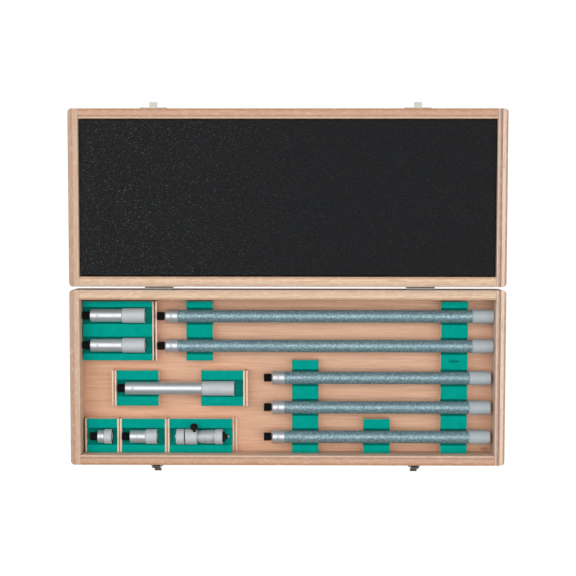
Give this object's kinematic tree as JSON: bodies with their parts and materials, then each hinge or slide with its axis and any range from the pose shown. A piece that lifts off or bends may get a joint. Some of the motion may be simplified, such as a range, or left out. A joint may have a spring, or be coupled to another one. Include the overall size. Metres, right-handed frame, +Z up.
{
  "type": "cased tubular inside micrometer",
  "caption": "Modular tubular inside micrometer: a micrometer head and screw-on extension pipes, in an open hinged wooden case with felt racks and a foam-lined lid.",
  "frame": {"origin": "middle of the case's length, on the hinge line between base and lid, at the level the case stands on", "axes": "+X along the case to the right, +Y towards the open lid, +Z up"},
  "size_m": [0.395, 0.3379, 0.0274],
  "materials": {
    "board_wood": "planed light wood with a thin matt varnish",
    "panel_wood": "veneered panel with fine straight grain",
    "rack_wood": "bare layered wood",
    "felt": "short green nap",
    "foam": "charcoal foam with fine pale specks",
    "plated_steel": "nickel plated sheet and wire",
    "tube_paint": "grey-blue hammered paint",
    "satin_chrome": "satin chrome",
    "ground_steel": "ground hardened steel",
    "black_steel": "black oxide",
    "brass": "turned brass"
  },
  "bodies": {
    "case": {"base_floor": "panel_wood", "base_left_end": "board_wood", "base_right_end": "board_wood", "base_front_board": "board_wood", "base_back_board": "board_wood", "long_rack_blocks": "rack_wood", "pair_rack_block": "rack_wood", "middle_rack_blocks": "rack_wood", "front_rack_blocks": "rack_wood", "rack_plates": "rack_wood", "long_rack_felts": "felt", "short_rack_felts": "felt", "base_hinge_leaves": "plated_steel", "hinge_pins": "plated_steel", "base_hinge_screws": "plated_steel", "latch_plates": "plated_steel", "latch_pins": "plated_steel", "latch_screws": "plated_steel", "pipe_tube_one": "tube_paint", "pipe_tube_two": "tube_paint", "pipe_tube_three": "tube_paint", "pipe_tube_four": "tube_paint", "pipe_tube_five": "tube_paint", "pipe_rings": "satin_chrome", "pipe_collars": "satin_chrome", "short_pipe_thirteen": "satin_chrome", "short_pipe_twentyfive": "satin_chrome", "short_pipe_fifty_back": "satin_chrome", "short_pipe_fifty_front": "satin_chrome", "short_pipe_hundred": "satin_chrome", "measuring_cap": "satin_chrome", "head_body": "satin_chrome", "sleeve": "satin_chrome", "long_gauge_rods": "ground_steel", "short_gauge_rods": "ground_steel", "cap_contact": "ground_steel", "adjusting_nut": "ground_steel", "clamp_pad": "brass"},
    "lid": {"lid_panel": "panel_wood", "lid_left_end": "board_wood", "lid_right_end": "board_wood", "lid_front_board": "board_wood", "lid_back_board": "board_wood", "lid_foam": "foam", "lid_hinge_leaves": "plated_steel", "lid_hinge_screws": "plated_steel", "lid_keepers": "plated_steel", "keeper_screws": "plated_steel"},
    "left_lever": {"left_latch_lever": "plated_steel"},
    "left_bail": {"left_latch_bail": "plated_steel"},
    "right_lever": {"right_latch_lever": "plated_steel"},
    "right_bail": {"right_latch_bail": "plated_steel"},
    "spindle": {"spindle": "ground_steel"},
    "thimble": {"thimble": "satin_chrome", "thimble_cap": "black_steel"},
    "clamp": {"clamp_screw": "black_steel"}
  },
  "joints": [
    {"name": "lid_hinge", "type": "hinge", "parent": "case", "child": "lid", "pos_m": [0, 0, 0.0261], "axis": [1, 0, 0], "range_deg": [0, 180]},
    {"name": "left_lever_hinge", "type": "hinge", "parent": "case", "child": "left_lever", "pos_m": [-0.1203, -0.16465, 0.017], "axis": [-1, 0, 0], "range_deg": [0, 115]},
    {"name": "left_bail_hinge", "type": "hinge", "parent": "left_lever", "child": "left_bail", "pos_m": [-0.1203, -0.16465, 0.0142], "axis": [-1, 0, 0], "range_deg": [-10, 70]},
    {"name": "right_lever_hinge", "type": "hinge", "parent": "case", "child": "right_lever", "pos_m": [0.1167, -0.16465, 0.017], "axis": [-1, 0, 0], "range_deg": [0, 115]},
    {"name": "right_bail_hinge", "type": "hinge", "parent": "right_lever", "child": "right_bail", "pos_m": [0.1167, -0.16465, 0.0142], "axis": [-1, 0, 0], "range_deg": [-10, 70]},
    {"name": "spindle_travel", "type": "slide", "parent": "case", "child": "spindle", "axis": [1, 0, 0], "range_m": [0, 0.013]},
    {"name": "thimble_turn", "type": "hinge", "parent": "spindle", "child": "thimble", "pos_m": [-0.1037, -0.1374, 0.0143], "axis": [1, 0, 0], "range_deg": [0, 9360]},
    {"name": "clamp_turn", "type": "hinge", "parent": "case", "child": "clamp", "pos_m": [-0.0853, -0.1374, 0.0143], "axis": [0, 0.8387, 0.5446], "range_deg": [0, 180]}
  ],
  "couplings": [
    {"joint": "spindle_travel", "follows": "thimble_turn", "m_per_rad": 0.000079577}
  ]
}
